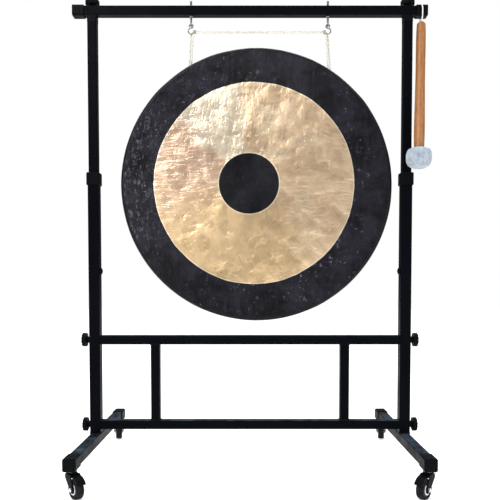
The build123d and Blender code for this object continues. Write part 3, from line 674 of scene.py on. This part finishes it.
def gong_face_paint():
    """Front of the gong: forge scale outside and in the middle, a lathed bright band between."""
    paint = Shader("gong_face", Anisotropic=0.6)
    centre = Vector((GONG_CENTRE.x, 0, GONG_CENTRE.z))
    outer, _ = paint.radius_about(centre + BAND_SHIFT)
    inner, away = paint.radius_about(centre + DISC_SHIFT)
    wobble = paint.times(paint.math("SUBTRACT", paint.noise(16, detail=3), 0.5), 0.005)
    outer = paint.math("ADD", outer, wobble)
    inside = paint.step(outer, BAND_RADIUS - SEAM, BAND_RADIUS + SEAM, 1, 0)
    outside = paint.step(inner, DISC_RADIUS - SEAM, DISC_RADIUS + SEAM)
    band = paint.times(inside, outside)

    parts = paint.node("ShaderNodeSeparateXYZ")
    paint.feed(parts.inputs[0], away)
    angle = paint.math("ARCTAN2", parts.outputs["Z"], parts.outputs["X"])
    sway = paint.math("SUBTRACT", paint.noise(7, detail=4), 0.5)
    angle = paint.math("ADD", angle, paint.times(sway, 1.1))
    tone = paint.noise(9, detail=7, roughness=0.66, distortion=1.2)
    bronze = paint.mix(paint.step(tone, 0.3, 0.72), (0.56, 0.385, 0.235), (0.80, 0.62, 0.42))
    left = paint.toward(angle, 172, 0.55, 0.98)
    bronze = paint.tint(bronze, (0.60, 0.405, 0.30), left, 0.65)
    low = paint.toward(angle, 250, 0.1, 0.95)
    bronze = paint.tint(bronze, (0.72, 0.50, 0.24), low, 0.55)
    # Painted highlight: a pale cream wedge on the band's upper left, standing in for the lathed metal's
    # reflection.
    highlight_wedge = paint.toward(angle, 118, 0.86, 0.985)
    bronze = paint.tint(bronze, (0.93, 0.83, 0.66), highlight_wedge, 0.6)
    # Painted highlight: pale cream rims along the band's outer and inner edges.
    outer_rim_highlight = paint.step(outer, BAND_RADIUS - 0.0032, BAND_RADIUS - 0.001)
    inner_rim_highlight = paint.step(inner, DISC_RADIUS + 0.0012, DISC_RADIUS + 0.0042, 1, 0)
    edge = paint.math("MAXIMUM", outer_rim_highlight, inner_rim_highlight)
    bronze = paint.tint(bronze, (0.92, 0.82, 0.64), edge, 0.7)
    pits = paint.step(paint.noise(120, detail=4, roughness=0.6), 0.64, 0.78)
    bronze = paint.tint(bronze, (0.40, 0.27, 0.15), pits, 0.3)
    scale = scale_colour(paint)
    disc = paint.step(inner, DISC_RADIUS - 0.002, DISC_RADIUS + 0.002, 1, 0)
    scale = paint.tint(scale, (0.0028, 0.0028, 0.0040), disc, 0.6)
    dark_edge, _ = paint.radius_about(centre)
    dark_edge = paint.step(dark_edge, GONG_RADIUS - 0.016, GONG_RADIUS - 0.006)
    scale = paint.tint(scale, (0.004, 0.004, 0.005), dark_edge, 0.75)
    paint.set("Base Color", paint.mix(band, scale, bronze))
    paint.set("Metallic", paint.step(band, 0, 1, 0.1, 0.9))
    paint.set("Specular IOR Level", paint.step(band, 0, 1, 0.16, 0.5))
    polished = paint.step(paint.noise(30, detail=6, roughness=0.65), 0.3, 0.75, 0.27, 0.42)
    rough = paint.step(paint.noise(48, detail=6, roughness=0.65), 0.3, 0.75, 0.36, 0.6)
    blend = paint.node("ShaderNodeMix", data_type="FLOAT")
    paint.feed(blend.inputs["Factor"], band)
    paint.feed(blend.inputs["A"], rough)
    paint.feed(blend.inputs["B"], polished)
    paint.set("Roughness", blend.outputs["Result"])

    groove = paint.math("SINE", paint.times(inner, 2 * math.pi / LATHE_PITCH))
    groove = paint.times(groove, band)
    normal = paint.bump(groove, 0.00003, 0.6)
    ridges = paint.noise(30, detail=4, roughness=0.55, distortion=0.5)
    normal = paint.bump(ridges, 0.0030, 0.75, under=normal)
    upright = paint.math("ABSOLUTE", paint.math("SINE", angle))
    flat = paint.math("SUBTRACT", 1.0, upright)
    for stretch, mask, strength in (((62, 40, 24), upright, 0.6), ((20, 40, 90), flat, 0.8)):
        place = paint.stretched(stretch)
        wrinkles = paint.noise(1.0, detail=3, roughness=0.55, distortion=0.6, at=place)
        normal = paint.bump(paint.times(wrinkles, mask), 0.0030, strength, under=normal)
    normal = paint.bump(paint.noise(210, detail=3, roughness=0.6), 0.00016, 0.45, under=normal)
    paint.set("Normal", normal)
    tangent = paint.node("ShaderNodeTangent", direction_type="RADIAL", axis="Y")
    paint.set("Tangent", tangent.outputs["Tangent"])
    return paint


def gong_back_paint():
    """Back of the gong: forge scale all over, rubbed bronze in places."""
    paint = Shader("gong_scale", metallic=0.45)
    worn = paint.step(paint.noise(26, detail=7, roughness=0.7), 0.62, 0.78)
    base = paint.tint(scale_colour(paint), (0.17, 0.115, 0.065), worn, 0.3)
    paint.set("Base Color", base)
    paint.set("Roughness", paint.step(paint.noise(40, detail=6), 0.3, 0.75, 0.4, 0.64))
    normal = paint.bump(paint.noise(36, detail=7, roughness=0.68), 0.002, 0.6)
    paint.set("Normal", paint.bump(paint.noise(320, detail=5), 0.00016, 0.5, under=normal))
    return paint


# ---------------------------------------------------------------- hanging hardware
HOOK_X = (-161.5 * MM, 213.5 * MM)
EYE_WIRE = 2.25 * MM
EYE_RADIUS = 8.25 * MM
SHANK_RADIUS = 3 * MM
THREAD_PITCH = 1.0 * MM
THREAD_DEPTH = 0.42 * MM
TURN_ROWS = 8            # rows of vertices in one turn of the thread
EYE_STEPS = 48           # points along the bent wire of the eye
COLLAR_PROFILE = [(2.6 * MM, -1.5 * MM), (4.1 * MM, -1.4 * MM), (4.3 * MM, -0.8 * MM), (4.3 * MM, 0)]


def thread_profile(x, z_low, z_high, radius):
    """Vertices and faces of a threaded rod standing on the Z direction at x, chamfered at its ends."""
    segments = 20
    rows = int((z_high - z_low) / THREAD_PITCH * TURN_ROWS) + 1
    verts = []
    for i in range(rows):
        z = z_low + (z_high - z_low) * i / (rows - 1)
        ends = min(z - z_low, z_high - z) / MM
        for j in range(segments):
            turn = j / segments
            phase = (z / THREAD_PITCH - turn) % 1.0
            flank = abs(2 * phase - 1)
            r = radius - THREAD_DEPTH * flank - max(0.0, 0.7 - ends) * 0.6 * MM
            a = 2 * math.pi * turn
            verts.append(Vector((x + r * math.cos(a), r * math.sin(a), z)))
    faces = grid_faces(rows, segments)
    faces.append(tuple(range(segments - 1, -1, -1)))
    faces.append(tuple((rows - 1) * segments + j for j in range(segments)))
    return verts, faces


def make_eye_bolts(paint):
    """Threaded eye bolts: the shank's thread is cut, and the eye is a bent wire."""
    low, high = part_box("eye_bolts")
    bar_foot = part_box("crossbar")[0].z
    for side, x in zip(("left", "right"), HOOK_X):
        centre = Vector((x, 0, low.z + EYE_WIRE + EYE_RADIUS))
        ring = []
        for k in range(EYE_STEPS + 1):
            a = math.radians(12 + 336 * k / EYE_STEPS) + 0.2
            ring.append(centre + Vector((0, math.cos(a) * EYE_RADIUS, math.sin(a) * EYE_RADIUS)))
        collar = lathe("collar", COLLAR_PROFILE, Matrix.Translation((x, 0, bar_foot)), 32)
        bolt = joined(f"eye_bolt_{side}", [
            tube_mesh(ring, EYE_WIRE, 14),
            thread_profile(x, centre.z + EYE_RADIUS - 0.5 * MM, high.z, SHANK_RADIUS),
            taken_apart(collar),
        ])
        paint.use_on(bolt)
        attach(bolt, "upper_frame")
        if side == "left":
            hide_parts("eye_bolts")


# ---------------------------------------------------------------- cords
CORD_RADIUS = 2.25 * MM
LOOP_RADIUS = 1.75 * MM
COIL_STEPS = 28          # points in one turn of a lashing
KNOT_STEPS = 96          # points along a whole knot
# control points in millimetres, from the rim on the left over both hooks to the rim on the right
GONG_CORDS = {
    "front": [
        (-163.19, 14.0, 1105.91), (-157.54, -0.13, 1177.54), (-155.5, -5.25, 1203.5),
        (-128.5, -5.25, 1203.5), (180.5, -5.25, 1203.5), (207.5, -5.25, 1203.5),
        (210.1, -0.59, 1177.1), (218.24, 14.0, 1094.47),
    ],
    "back": [
        (-168.79, 14.0, 1105.91), (-163.39, 7.52, 1182.65), (-161.5, 5.25, 1209.5),
        (-134.5, 5.25, 1209.5), (186.5, 5.25, 1209.5), (213.5, 5.25, 1209.5),
        (215.9, 7.28, 1182.7), (223.84, 14.0, 1094.47),
    ],
}
# in millimetres, from the mallet up over the crossbar's cap and down behind it
MALLET_LOOP = [
    (470.0, -4.14, 1237.53), (469.5, -18.15, 1243.5), (468.0, -18.15, 1278.85),
    (469.0, 18.15, 1278.85), (470.5, 18.15, 1243.5), (470.0, 4.14, 1237.53),
]


def in_metres(points):
    return [Vector(p) * MM for p in points]


def make_gong_cords(paint):
    """The two strands that the gong hangs from."""
    for name, route in GONG_CORDS.items():
        path = smooth_route(in_metres(route))
        cord = twisted_cord(f"gong_cord_{name}_laid", path, CORD_RADIUS)
        paint.use_on(cord)
        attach(cord, "gong")
        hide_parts(f"gong_cord_{name}")


def coil(centre, radii, turns, pitch, cord, tilt):
    """A lashing of turns round an oval whose axis runs along X; tilt leans the oval's long way up."""
    path = []
    steps = int(turns * COIL_STEPS)
    for k in range(steps + 1):
        a = 2 * math.pi * k / COIL_STEPS
        along = (k / steps - 0.5) * turns * pitch
        y, z = radii[0] * math.cos(a), radii[1] * math.sin(a)
        path.append(centre + Vector((along, y * math.cos(tilt) - z * math.sin(tilt),
                                     y * math.sin(tilt) + z * math.cos(tilt))))
    return tube_mesh(path, cord, 9)


def make_hook_knots(paint):
    """Lashings that bind both strands together round the open end of each hook."""
    low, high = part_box("hook_knots")
    half = 3.5 * MM
    for side, x in (("left", low.x + half), ("right", high.x - half)):
        middle = Vector((x, 0, (low.z + high.z) / 2))
        knot = joined(f"hook_lashing_{side}", [
            coil(middle, radii=(9.0 * MM, 3.9 * MM), turns=2.7, pitch=2.4 * MM, cord=1.2 * MM,
                 tilt=math.radians(29.7)),
            coil(middle, radii=(9.4 * MM, 4.6 * MM), turns=1.6, pitch=-2.9 * MM, cord=1.1 * MM,
                 tilt=math.radians(35)),
        ])
        paint.use_on(knot)
        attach(knot, "gong")
        if side == "left":
            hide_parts("hook_knots")


def overhand(centre, size, cord, turn=0.0):
    """A pulled-down overhand knot: a trefoil with a round section."""
    path = []
    for k in range(KNOT_STEPS):
        t = 2 * math.pi * k / KNOT_STEPS + turn
        path.append(centre + size * Vector((
            math.sin(t) + 2 * math.sin(2 * t),
            math.cos(t) - 2 * math.cos(2 * t),
            -1.15 * math.sin(3 * t),
        )) / 3)
    return tube_mesh(path, cord, 10, closed=True)


def make_rim_knots(paint):
    """Behind the rim at each side: two stopper knots side by side, and the ends of the two strands."""
    low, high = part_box("rim_knots")
    y = (low.y + high.y) / 2
    half = 8.5 * MM
    sides = (("left", low.x + half, high.z - half, 0.3), ("right", high.x - half, low.z + half, -0.3))
    for side, x, z, turn in sides:
        middle = Vector((x, y, z))
        parts = [
            overhand(middle + Vector((-2.6 * MM, 0, 1 * MM)), 5.2 * MM, CORD_RADIUS * 0.95, turn),
            overhand(middle + Vector((3.0 * MM, 0.5 * MM, -2 * MM)), 5.2 * MM, CORD_RADIUS * 0.95, 1.3),
        ]
        for dx in (-3.5 * MM, 3.0 * MM):
            tail = [
                middle + Vector((dx, 0, -3 * MM)),
                middle + Vector((dx * 1.3, 1 * MM, -9 * MM)),
                middle + Vector((dx * 1.5, -1 * MM, -15 * MM)),
            ]
            parts.append(tube_mesh(resample(tail, 1.5 * MM), CORD_RADIUS * 0.8, 9))
        knot = joined(f"rim_knot_{side}", parts)
        paint.use_on(knot)
        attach(knot, "gong")
        if side == "left":
            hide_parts("rim_knots")


# ---------------------------------------------------------------- mallet
PIVOT = Vector(JOINTS["mallet_swing"]["pos_m"])
HEAD_LOW, HEAD_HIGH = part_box("mallet_core")
HEAD = (HEAD_LOW + HEAD_HIGH) / 2
MALLET_DOWN = (HEAD - PIVOT).normalized()
MALLET_LENGTH = (HEAD - PIVOT).length


def mallet_place():
    """Puts a piece that was turned about +Z, top at 0, on the mallet's own axis."""
    return Matrix.Translation(PIVOT) @ MALLET_DOWN.to_track_quat("Z", "X").to_matrix().to_4x4()


def along_mallet():
    """The turn of the texture that lets grain and ribs run along the mallet."""
    turn = MALLET_DOWN.to_track_quat("Z", "X").to_euler()
    return (-turn.x, -turn.y, -turn.z)


def wood_paint():
    """Oiled hardwood: long grain, darker growth lines, short pores and a soft shine."""
    paint = Shader("turned_wood", Specular_IOR_Level=0.45)
    back = along_mallet()
    grain_at = paint.stretched((150, 150, 7), back)
    grain = paint.noise(1.0, detail=5, roughness=0.6, distortion=0.6, at=grain_at)
    lines = paint.step(paint.noise(1.0, detail=3, at=paint.stretched((420, 420, 9), back)), 0.36, 0.7)
    base = paint.mix(paint.step(grain, 0.28, 0.75), (0.19, 0.066, 0.013), (0.37, 0.150, 0.038))
    base = paint.tint(base, (0.50, 0.205, 0.058), lines, 0.3)
    rings = paint.step(paint.noise(1.0, detail=3, at=paint.stretched((3, 3, 420), back)), 0.5, 0.68)
    base = paint.tint(base, (0.20, 0.070, 0.018), rings, 0.25)
    pores = paint.step(paint.noise(1.0, detail=2, at=paint.stretched((1500, 1500, 60), back)), 0.66, 0.72)
    paint.set("Base Color", paint.tint(base, (0.10, 0.035, 0.012), pores, 0.6))
    paint.set("Roughness", paint.step(grain, 0.3, 0.7, 0.32, 0.5))
    paint.set("Normal", paint.bump(paint.math("ADD", lines, pores), 0.00012, 0.4))
    return paint


def felt_paint():
    """Pale blue-white fleece, greyer in patches and in ribs along the mallet."""
    paint = Shader("felt", roughness=0.95, Specular_IOR_Level=0.1, Sheen_Weight=0.5, Sheen_Roughness=0.6)
    soil = paint.step(paint.noise(75, detail=5, roughness=0.6), 0.35, 0.75)
    base = paint.mix(soil, (0.38, 0.445, 0.50), (0.24, 0.29, 0.335))
    along = paint.stretched((105, 105, 14), along_mallet())
    rib = paint.step(paint.noise(1.0, detail=3, at=along), 0.44, 0.62)
    paint.set("Base Color", paint.tint(base, (0.26, 0.27, 0.36), rib, 0.5))
    tufts = paint.noise(520, detail=5, roughness=0.7)
    paint.set("Normal", paint.bump(tufts, 0.0012, 0.8))
    return paint


COVER_START = 26         # mm, how far above the head's middle the cover begins
COVER_OUTLINE = [        # (radius, height) in mm, from the handle over the side to the end
    (14.0, 7.0), (14.2, 4.4), (15.6, 2.6), (19.5, 1.0), (26.0, 0.9), (30.6, 3.6), (33.2, 8.5),
    (34.3, 15.0), (34.7, 22.0), (34.4, 29.5), (32.8, 37.0), (29.0, 43.6), (23.0, 48.0),
    (15.5, 50.0), (8.0, 50.9), (0.6, 51.2),
]
FIBRES = 4600


def make_mallet_cover(paint):
    """A squat bun gathered round the handle: pleats, tufts and short fibres standing off it."""
    start = MALLET_LENGTH / MM - COVER_START
    dense = resample([Vector((r, 0, h)) for r, h in COVER_OUTLINE], 0.9)
    profile = [(p.x * MM, (start + p.z) * MM) for p in dense]
    rows = len(profile)

    def gathered(point, i, a):
        t = i / rows
        pleat = abs(math.sin(11 * a + 0.7 * math.sin(3 * a))) ** 0.6
        depth = (0.9 - pleat) * 1.3 * MM * max(0.0, 1 - abs(t - 0.3) / 0.5)
        lumps = noise.fractal(point * 70, 0.8, 2.1, 4) * 1.0 * MM
        tufts = noise.noise(point * 480) * 0.35 * MM
        out = Vector((point.x, point.y, 0)).normalized()
        if t > 0.8:
            out = (out * (1 - t) * 5 + Vector((0, 0, 1)) * (t - 0.8) * 5).normalized()
        return point + out * (lumps * 0.5 + tufts - depth - 0.8 * MM)

    cover = lathe("mallet_fleece", profile, mallet_place(), 180, gathered)
    add_fibres(cover, FIBRES)
    paint.use_on(cover)
    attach(cover, "mallet")
    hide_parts("mallet_cover")


def add_fibres(cover, count):
    """Short curled fibres on the surface, each a thin bent blade."""
    source = cover.data
    source.update()
    polygons = [p for p in source.polygons if p.area > 0]
    verts = [v.co.copy() for v in source.vertices]
    faces = [tuple(p.vertices) for p in source.polygons]
    chosen = RNG.choices(polygons, weights=[p.area for p in polygons], k=count)
    for polygon in chosen:
        corners = [source.vertices[i].co for i in polygon.vertices]
        centre = sum(corners, Vector()) / len(corners)
        normal = polygon.normal
        lean = Vector([RNG.uniform(-1, 1) for _ in range(3)])
        lean = (lean - normal * lean.dot(normal)).normalized()
        across = normal.cross(lean) * 0.09 * MM
        length = RNG.uniform(0.6, 1.7) * MM
        root = centre + lean * RNG.uniform(-0.5, 0.5) * MM - normal * 0.15 * MM
        middle = root + normal * length * 0.55 + lean * length * 0.35
        tip = root + normal * length * 0.7 + lean * length * 1.0
        first = len(verts)
        verts += [root - across, root + across, middle + across * 0.8, middle - across * 0.8, tip]
        faces += [(first, first + 1, first + 2, first + 3), (first + 3, first + 2, first + 4)]
    mesh = bpy.data.meshes.new("mallet_fleece")
    mesh.from_pydata([tuple(v) for v in verts], [], faces)
    mesh.polygons.foreach_set("use_smooth", [True] * len(mesh.polygons))
    cover.data = mesh


def make_mallet_cords(paint):
    """The loop that stays on the crossbar, and the knot that swings with the mallet."""
    path = smooth_route(in_metres(MALLET_LOOP))
    loop = twisted_cord("mallet_loop_laid", path, LOOP_RADIUS)
    paint.use_on(loop)
    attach(loop, "upper_frame")
    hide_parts("mallet_loop")
    knot = joined("mallet_knot_tied", [overhand(PIVOT + MALLET_DOWN * 0.9 * MM, 2.6 * MM, 1.4 * MM)])
    paint.use_on(knot)
    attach(knot, "mallet")
    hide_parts("mallet_knot")


# ---------------------------------------------------------------- casters and welds
RING_RADIUS = 11.5 * MM
RING_SPREAD = 1.9 * MM
RING_FACE = 9.2 * MM     # from the wheel's middle to the side that the ring stands on
RING_HEIGHT = 1.1 * MM
RING_STEPS = 12          # in the ring's half-round section


def make_caster_rings(paint):
    """Bright rings let into both sides of each wheel."""
    for corner in CORNERS:
        joint = JOINTS[f"caster_wheel_{corner}_roll"]
        place = Matrix.Translation(Vector(joint["pos_m"]))
        place @= Vector(joint["axis"]).to_track_quat("Z", "X").to_matrix().to_4x4()
        rings = []
        for side in (-1, 1):
            section = []
            for k in range(RING_STEPS + 1):
                a = math.pi * k / RING_STEPS
                radius = RING_RADIUS - RING_SPREAD * math.cos(a)
                section.append((radius, side * (RING_FACE + RING_HEIGHT * math.sin(a))))
            rings.append(taken_apart(lathe("ring", section, place, 56)))
        ring = joined(f"caster_ring_{corner}", rings)
        paint.use_on(ring)
        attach(ring, f"caster_wheel_{corner}")


BEAD_CORNER = 2.5 * MM
BEAD_RADIUS = 1.7 * MM
BEAD_SIDES = 8
BEAD_STEPS = 6           # in each rounded corner


def weld_bead(name, centre, half, paint):
    """A rippled weld bead round the square end of an upright tube that is 2 * half wide."""
    path = []
    for quarter in range(2, 6):      # once round, from the corner towards -X and -Y
        start = math.pi / 2 * quarter
        out = Vector((math.cos(start + math.pi / 4), math.sin(start + math.pi / 4), 0))
        mid = centre + out * (half - BEAD_CORNER) * math.sqrt(2)
        for k in range(BEAD_STEPS + 1):
            a = start + math.pi / 2 * k / BEAD_STEPS
            path.append(mid + Vector((BEAD_CORNER * math.cos(a), BEAD_CORNER * math.sin(a), 0)))
    loop = resample(path + [path[0]], 0.8 * MM)[:-1]
    verts, faces = tube_mesh(loop, BEAD_RADIUS, BEAD_SIDES, closed=True)
    for i, v in enumerate(verts):
        row = i // BEAD_SIDES
        ripple = 0.22 * MM * math.sin(row * 1.25) + 0.35 * MM * noise.noise(v * 260)
        v += (v - loop[row]).normalized() * ripple
    bead = add_piece(name, verts, faces)
    paint.use_on(bead)
    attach(bead, "stand_base")


def make_welds(paint):
    """Beads where the posts stand on the feet and where the struts meet the rails."""
    foot_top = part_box("foot_left")[1].z
    for side in ("left", "right"):
        low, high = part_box(f"lower_post_{side}")
        middle = (low + high) / 2
        weld_bead(f"weld_post_{side}", Vector((middle.x, 0, foot_top)), (high.x - low.x) / 2, paint)
    low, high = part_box("struts")
    half = (high.y - low.y) / 2
    for side, x in (("left", low.x + half), ("right", high.x - half)):
        for end, z in (("low", low.z), ("high", high.z)):
            weld_bead(f"weld_strut_{side}_{end}", Vector((x, 0, z)), half, paint)


# ---------------------------------------------------------------- put the looks on
def dress_cad_nodes(paints):
    """Give every CAD node that still shows the material of its slot in the record."""
    slots = {part["node"]: part["material_slot"] for part in frame["record"]["subparts"]}
    for name, node in frame["nodes"].items():
        if not node.hide_render:
            paints[slots[name]].use_on(node)


make_camera()
cream = cord_fibre("cord_cream", (0.74, 0.71, 0.63), (0.47, 0.43, 0.36))
white = cord_fibre("cord_white", (0.80, 0.80, 0.79), (0.60, 0.59, 0.57))
make_gong_cords(cream)
make_mallet_cords(white)
make_hook_knots(cord_fibre("cord_lashing", (0.40, 0.35, 0.28), (0.20, 0.165, 0.13)))
make_rim_knots(cream)
paints = {
    "powder_coat": powder_coat(),
    "moulded_black": moulded_plastic(),
    "zinc": zinc_plate(),
    "bright_steel": bright_metal(),
    "tyre_rubber": tyre_rubber(),
    "hub_plastic": hub_plastic(),
    "turned_wood": wood_paint(),
    "core_wood": wood_paint(),
    "felt": felt_paint(),
    "cord_cream": cream,
    "cord_white": white,
}
make_gong()
make_eye_bolts(paints["zinc"])
make_mallet_cover(paints["felt"])
make_caster_rings(paints["bright_steel"])
make_welds(paints["powder_coat"])
dress_cad_nodes(paints)
make_studio()
